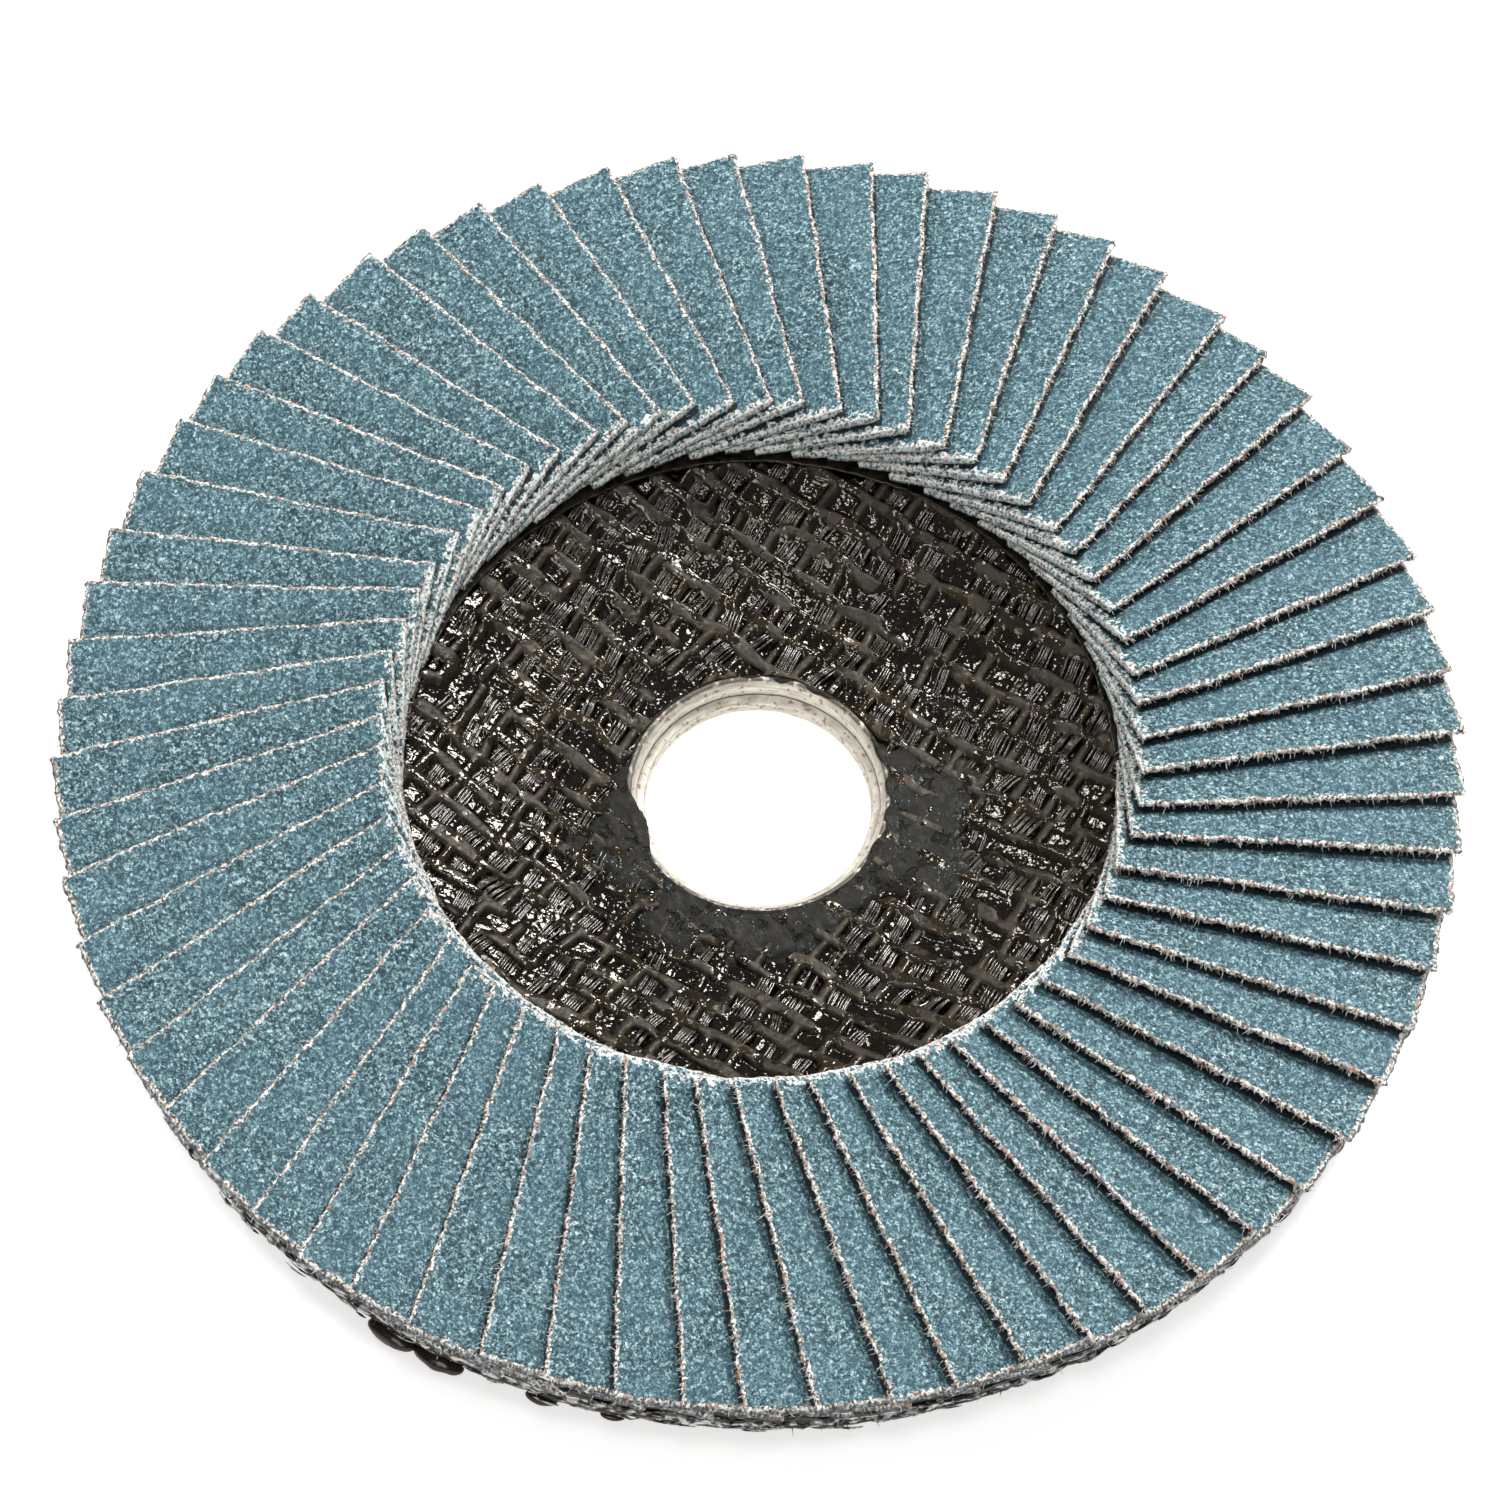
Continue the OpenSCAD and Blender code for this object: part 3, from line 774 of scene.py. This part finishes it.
def front_relief(x, y):
    """Rise of the front ply's face over the plate's front, and its level from 0 in a
    window to 1 on a rib."""
    relief = FRONT_MESH.height(x, y)
    filled = step(0.3, 0.9, cloud(x / 3.0, y / 3.0, 51)) * 0.5
    low = -0.40 + 0.05 * cloud(x / 0.9, y / 0.9, 52)
    high = 0.13 + 0.15 * cloud(x / 1.3, y / 1.3, 53)
    level = np.maximum(relief, filled)
    z = low + (high - low) * level
    return z + 0.05 * cloud(x / 0.6, y / 0.6, 54) * level, level


def ply_piece(name, node, slot, material, radii, surface_z, relief, thick, seed,
              turns=720, facing=1, ragged=0.12):
    """One ply: a detailed face, ragged edges and a plain hidden face."""
    rows = len(radii)
    angle = np.linspace(0, 2 * math.pi, turns, endpoint=False)
    out = np.where(np.arange(rows) >= rows - 3, 1.0, 0.0)[:, None] * ragged
    wobble = out * cloud(angle[None, :] * PLATE_R / 0.6, 0 * angle[None, :], seed)
    r = radii[:, None] + wobble
    x, y = r * np.cos(angle), r * np.sin(angle)
    rise, level = relief(x, y)
    face = np.stack([x, y, surface_z(r) + facing * rise], -1).reshape(-1, 3)
    hidden_r = np.array([radii[-1], KNEE_R, HUB_R, radii[0]])
    hidden_r = hidden_r[hidden_r >= radii[0]]
    hidden = []
    for k, hr in enumerate(hidden_r):
        hz = surface_z(np.array(hr)) - facing * thick
        wob = wobble[-1] if k == 0 else 0.0
        hidden.append(np.stack([(hr + wob) * np.cos(angle), (hr + wob) * np.sin(angle),
                                np.full(turns, float(hz))], -1))
    points = np.concatenate([face, *hidden])
    quads = revolve_quads(rows + len(hidden_r), turns)
    if facing < 0:
        quads = quads[:, ::-1]
    levels = np.concatenate([level.ravel(), np.full(len(points) - level.size, 1.0)])
    make_piece(name, node, slot, material, points, quads, attributes={"relief": levels})


def front_ply():
    radii = np.concatenate([np.arange(PLY_BORE_R, 27.4, 0.144), np.arange(28, 48, 2.7),
                            [PLATE_R - 0.2, PLATE_R]])
    ply_piece("front_mesh_ply", "front_glass_ply", "resin_plate", FRONT_RESIN, radii, front_z,
              front_relief, PLY_T - 0.02, 61)


def rear_relief(x, y):
    """As front_relief, for the back, flat round the ring's flange."""
    relief = REAR_MESH.height(x, y)
    low = -0.22 + 0.05 * cloud(x / 1.0, y / 1.0, 72)
    high = 0.03 * cloud(x / 0.8, y / 0.8, 73)
    fade = step(0, 0.8, np.hypot(x, y) - 13.2)
    return (low + (high - low) * relief) * fade, relief


def rear_ply():
    radii = np.concatenate([np.arange(FLANGE_POCKET_R, PLATE_R - 0.2, 0.275),
                            [PLATE_R - 0.1, PLATE_R]])
    ply_piece("rear_mesh_ply", "rear_glass_ply", "resin_plate", REAR_RESIN, radii, back_z,
              rear_relief, PLY_T - 0.01, 62, facing=-1)


def no_relief(x, y):
    return 0 * x, 0 * x


def inner_rear_top(r):
    return back_z(r) + 2 * PLY_T - 0.01


def inner_front_top(r):
    return front_z(r) - PLY_T - 0.01


def inner_plies():
    """The hidden plies. Only their frayed rims show, under the flaps."""
    radii = np.array([PLY_BORE_R, HUB_R, KNEE_R, 36, PLATE_R - 1.5, PLATE_R - 0.5, PLATE_R])
    for side, top, seed in (("rear", inner_rear_top, 64), ("front", inner_front_top, 65)):
        ply_piece(f"inner_{side}_ply", f"inner_{side}_glass_ply", "glass_ply", PLY_EDGE, radii,
                  top, no_relief, PLY_T - 0.02, seed, turns=900, ragged=0.22)


def front_bundles():
    """Fibre bundles that show in the windows of the mesh, strand by strand."""
    rng = np.random.default_rng(77)
    spacing, bare_share, missing_share = 0.19, 0.28, 0.06
    reach = FRONT_MESH.rib / 2 - 0.12
    t = np.linspace(-1, 1, 7)
    side = np.tile([FRONT_MESH.c, FRONT_MESH.s, 0.0], (len(t), 1))
    strands = []
    for aw, bw in zip(*FRONT_MESH.windows(10.4, 27.0)):
        if rng.random() < bare_share:
            continue
        wide = rng.uniform(0.7, 1.8)
        count = int(wide / spacing)
        shift = rng.uniform(-0.25, 0.25)
        tall = rng.uniform(0.00, 0.36)
        lean = rng.normal(0, 0.12)
        for k in range(count):
            if rng.random() < missing_share:
                continue
            off = (k - (count - 1) / 2) * spacing + shift + rng.normal(0, 0.05)
            sa = aw + off + lean * t + rng.normal(0, 0.015, len(t))
            x, y = FRONT_MESH.plan(sa, bw + t * reach)
            pillow = 1 - (off / (wide / 2 + 0.2)) ** 2 * 0.5
            z = front_z(np.hypot(x, y)) - 0.36 + tall * pillow * (1 - t**2 * 0.9)
            z = z + rng.normal(0, 0.03)
            radius = np.full(len(t), rng.uniform(0.085, 0.125))
            strands.append(tube(np.stack([x, y, z], -1), side, radius))
    make_piece("front_fibre_bundles", "front_glass_ply", "resin_plate", BUNDLE_RESIN,
               *joined(strands))


def hub_smear():
    """Irregular film of dull resin round the ring, over its lip in places. It dips
    under the mesh where it has no thickness."""
    turns, count, outer = 600, 68, 16.9
    angle = np.linspace(0, 2 * math.pi, turns, endpoint=False)
    # inner edge: scalloped on the right, drawn back at the top left, and run over the
    # lip into the bore at the lower left
    right = step(2.1, 1.8, angle) + step(5.55, 5.8, angle)
    scallop = 0.34 * np.abs(np.sin(angle * 8 + 1.3 * np.sin(angle * 4))) ** 1.5
    ragged = 0.07 * cloud(angle * 9, 0 * angle, 44) + 0.05 * cloud(angle * 26, 0 * angle, 46)
    over = np.exp(-((angle - 3.48) / 0.24) ** 2)
    bare = np.exp(-((angle - 2.45) / 0.75) ** 8)
    inner = 9.40 - 0.12 * (1 - right) - right * scallop + ragged - 1.0 * over + 0.3 * bare
    # top of the film
    t = np.linspace(0, 1, count)[:, None]
    r = inner[None, :] * (1 - t) + outer * t
    x, y = r * np.cos(angle), r * np.sin(angle)
    amount = smear_amount(x, y)
    level = 0.10 + 0.13 * cloud(x / 1.4, y / 1.4, 42) + 0.05 * cloud(x / 0.45, y / 0.45, 43)
    z = HUB_T + level * amount - 0.45 * (1 - amount)
    z = z + np.maximum(0, r - HUB_R) * 0.31 * amount
    over_lip = step(9.75, 9.45, r)
    z = np.maximum(z, (LIP_Z + 0.05 + 0.02 * cloud(angle[None] * 12, r, 45)) * over_lip)
    z = z - 0.12 * step(0.12, 0.0, r - inner[None, :])
    top = np.stack([x, y, z], -1).reshape(-1, 3)
    # hidden underside, and the run down into the bore
    foot = HUB_T - 0.75
    low = [np.stack([rr * np.cos(angle), rr * np.sin(angle), np.full(turns, zz)], -1)
           for rr, zz in ((r[-1], foot), (np.maximum(r[0] + 0.5, 9.6), foot),
                          (r[0] + 0.03, HUB_T - 0.12 - 1.1 * over))]
    make_piece("hub_smear", "hub_resin_film", "resin_film", SMEAR,
               np.concatenate([top, *low]), revolve_quads(count + len(low), turns))


def ring():
    """Steel ring: flat flange, stepped collar and flared lip, with a dark line of painted shade
    round the collar.
    """
    bore, wide, flange = RING_BORE_R, RING_WIDE_R, RING_FLANGE_R
    collar = wide + RING_WALL
    profile = [
        (bore, 0.06), (bore + 0.06, 0.0), (flange - 0.1, 0.0), (flange, 0.08),
        (flange, 0.38), (flange - 0.1, 0.46), (collar + 0.08, 0.46), (collar, 0.54),
        (collar, 2.34), (collar + 0.30, 2.69), (collar + 0.27, 2.80), (collar + 0.13, LIP_Z),
        (collar + 0.01, 2.80), (wide + 0.05, 2.42), (wide, 2.32), (wide, 1.30),
        (wide - 0.04, 1.22), (bore + 0.12, 1.20), (bore + 0.02, 1.14), (bore, 1.04),
        (bore, 0.62), (bore + 0.03, 0.58), (bore, 0.54)]

    def shape(r, z, a, index):
        lip = (z > 2.5) * 0.03 * cloud(a * 6, 0 * a, 81)
        return r + lip, z + 0.5 * lip

    turns = 360
    make_piece("steel_ring", "centre_ring", "ring_steel", STEEL,
               revolve_grid(profile[::-1], turns, shape),
               revolve_quads(len(profile), turns)[:, ::-1])


def bed():
    """Adhesive between the rim of the plate and the feet of the flaps."""
    turns = 720
    inner, outer = KNEE_R + 0.1, PLATE_R - 0.1
    radii = np.concatenate([inner + np.array([0, 0.1, 0.4]), np.linspace(26.5, outer - 0.9, 12),
                            outer - np.array([0.4, 0.1, 0])])
    thick = np.interp(radii, [inner, 36, outer], [0.3, 0.6, 0.4])
    upper = [(r, rim_front_z(r) + t) for r, t in zip(radii, thick)]
    lower = [(r, rim_front_z(r) + 0.02) for r in (outer, 36, inner)]

    def shape(r, z, a, index):
        lump = cloud(a * 40, r / 2, 91)
        edge = (r > outer - 0.5) | (r < inner + 0.3)
        return r + 0.12 * lump * edge, z - 0.03 * (1 + lump) * (index < len(upper))

    profile = upper + lower
    make_piece("flap_adhesive", "adhesive_bed", "adhesive", BED_RESIN,
               revolve_grid(profile, turns, shape), revolve_quads(len(profile), turns))


def drops():
    """Drops of resin squeezed out under the edge of the plate, sagging as they set."""
    sides, stacks = 32, 24
    t = np.linspace(0.02, math.pi - 0.02, stacks)[:, None]
    q = np.linspace(0, 2 * math.pi, sides, endpoint=False)[None, :]
    made = []
    for degrees, size in DROPS:
        a = math.radians(degrees)
        along = -np.cos(t) * DROP_HALF_L * size + 0 * q
        lump = 1 + 0.10 * value_noise(along * 1.3, q * 1.5 + 0 * t, int(degrees))
        out = np.sin(t) * np.cos(q) * (DROP_R + 0.05) * size * lump
        up = np.sin(t) * np.sin(q) * DROP_R * size * lump
        r = PLATE_R - 0.1 + out
        x = r * math.cos(a) - along * math.sin(a)
        y = r * math.sin(a) + along * math.cos(a)
        z = back_z(PLATE_R) - 0.01 - DROP_R * size + up
        made.append((np.stack([x, y, z], -1).reshape(-1, 3),
                     grid_quads(stacks, sides, wrap=True), NO_TRIS))
    make_piece("resin_drops", "adhesive_drops", "adhesive", DROP, *joined(made))


def rim_threads():
    """Frayed glass threads that stand out of the cut rim of the plate."""
    rng = np.random.default_rng(88)
    angle = rng.uniform(0, 2 * math.pi, 2400)
    outs = np.stack([np.cos(angle), np.sin(angle)], 1)
    level = rng.uniform(0.15, 0.95, len(angle))
    z = back_z(PLATE_R) * (1 - level) + front_z(PLATE_R) * level
    roots = np.concatenate([outs * (PLATE_R - 0.05), z[:, None]], 1)
    make_piece("frayed_rim", "inner_rear_glass_ply", "glass_ply", PLY_EDGE,
               *threads(rng, roots, outs, 800, 0.5))


def rim_yarns():
    """Yarns of the cut mesh that have come away and lie along the rim of the plate,
    lowest beside the drops of resin."""
    rng = np.random.default_rng(89)
    t = np.linspace(0, 1, 11)
    yarns = []
    for _ in range(460):
        start = rng.uniform(0, 2 * math.pi)
        length = rng.uniform(0.6, 2.4) / PLATE_R
        a = start + length * t
        sag = 0.7 * np.exp(-((start - 4.23) / 0.35) ** 2)
        out = rng.uniform(-0.05, 0.22) + 0.14 * np.sin(math.pi * t) * rng.uniform(-1, 1)
        r = PLATE_R + out + 0.06 * value_noise(a * PLATE_R, 0 * a, 96)
        z = back_z(PLATE_R) + rng.uniform(0.0, 1.7) - sag * rng.uniform(0, 1) + 0.12 * (
            value_noise(a * PLATE_R / 0.8, start + 0 * a, 97))
        radius = rng.uniform(0.05, 0.13) * np.sin(math.pi * (0.12 + 0.76 * t))
        outward = np.stack([np.cos(a), np.sin(a), 0 * a], -1)
        yarns.append(tube(np.stack([r * np.cos(a), r * np.sin(a), z], -1), outward, radius))
    make_piece("rim_yarns", "inner_rear_glass_ply", "glass_ply", PLY_EDGE, *joined(yarns))


def hub_ply():
    """The ply inside the hub is out of sight and keeps its CAD mesh."""
    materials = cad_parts["hub_glass_ply"].data.materials
    materials.clear()
    materials.append(PLY_EDGE)


for number in range(1, FLAP_COUNT + 1):
    flap(number, flap_node(number))
front_ply()
rear_ply()
inner_plies()
front_bundles()
hub_smear()
ring()
bed()
drops()
rim_threads()
rim_yarns()
hub_ply()


# --------------------------------------------------------------------- scene
def floor():
    size, z = 3.0, -0.0001
    mesh = bpy.data.meshes.new("floor")
    mesh.from_pydata([(-size, -size, z), (size, -size, z), (size, size, z), (-size, size, z)],
                     [], [(0, 1, 2, 3)])
    obj = bpy.data.objects.new("floor", mesh)
    bpy.context.scene.collection.objects.link(obj)
    s = Shader("pale_floor")
    s.finish(s.mix(s.noise(60, 3), (0.88, 0.87, 0.865), (0.90, 0.89, 0.885)),
             0.8, Specular_IOR_Level=0.2, Emission_Color=(1, 0.995, 0.99, 1),
             Emission_Strength=0.54)
    mesh.materials.append(s.mat)


def area_light(name, place, size, power, colour=(1, 1, 1)):
    data = bpy.data.lights.new(name, "AREA")
    data.shape, data.size = "SQUARE", size
    data.energy, data.color = power, colour
    obj = bpy.data.objects.new(name, data)
    bpy.context.scene.collection.objects.link(obj)
    obj.location = place
    obj.rotation_mode = "QUATERNION"
    obj.rotation_quaternion = (-Vector(place)).to_track_quat("-Z", "Y")


def lights():
    world = bpy.data.worlds.new("studio")
    world.use_nodes = True
    world.node_tree.nodes["Background"].inputs["Color"].default_value = (1, 1, 1, 1)
    world.node_tree.nodes["Background"].inputs["Strength"].default_value = 0.18
    bpy.context.scene.world = world
    area_light("key", (0.42, 0.62, 0.80), 0.34, 12)
    area_light("left_back", (-0.62, 0.50, 0.85), 0.26, 4.4)
    area_light("overhead", (0.05, -0.15, 1.15), 0.22, 2.5)
    area_light("front", (-0.35, -0.95, 0.55), 0.5, 5.0)
    bpy.context.scene.view_settings.view_transform = "Standard"


def camera():
    elevation, roll = math.radians(63.03), math.radians(-3.29)
    distance, target = 0.6151, Vector((0, 0, CREST_Z_OUT * MM))
    back = Vector((0, -math.cos(elevation), math.sin(elevation)))
    right = Vector((1, 0, 0))
    up = back.cross(right)
    c, s = math.cos(roll), math.sin(roll)
    turned = Matrix((c * right - s * up, s * right + c * up, back)).transposed()
    data = bpy.data.cameras.new("camera")
    data.sensor_width, data.lens = 36.0, 208.5
    data.shift_x, data.shift_y = -0.0072, 0.0061
    data.clip_start, data.clip_end = 0.05, 20
    obj = bpy.data.objects.new("camera", data)
    bpy.context.scene.collection.objects.link(obj)
    obj.matrix_world = Matrix.Translation(target + back * distance) @ turned.to_4x4()
    bpy.context.scene.camera = obj


floor()
lights()
camera()
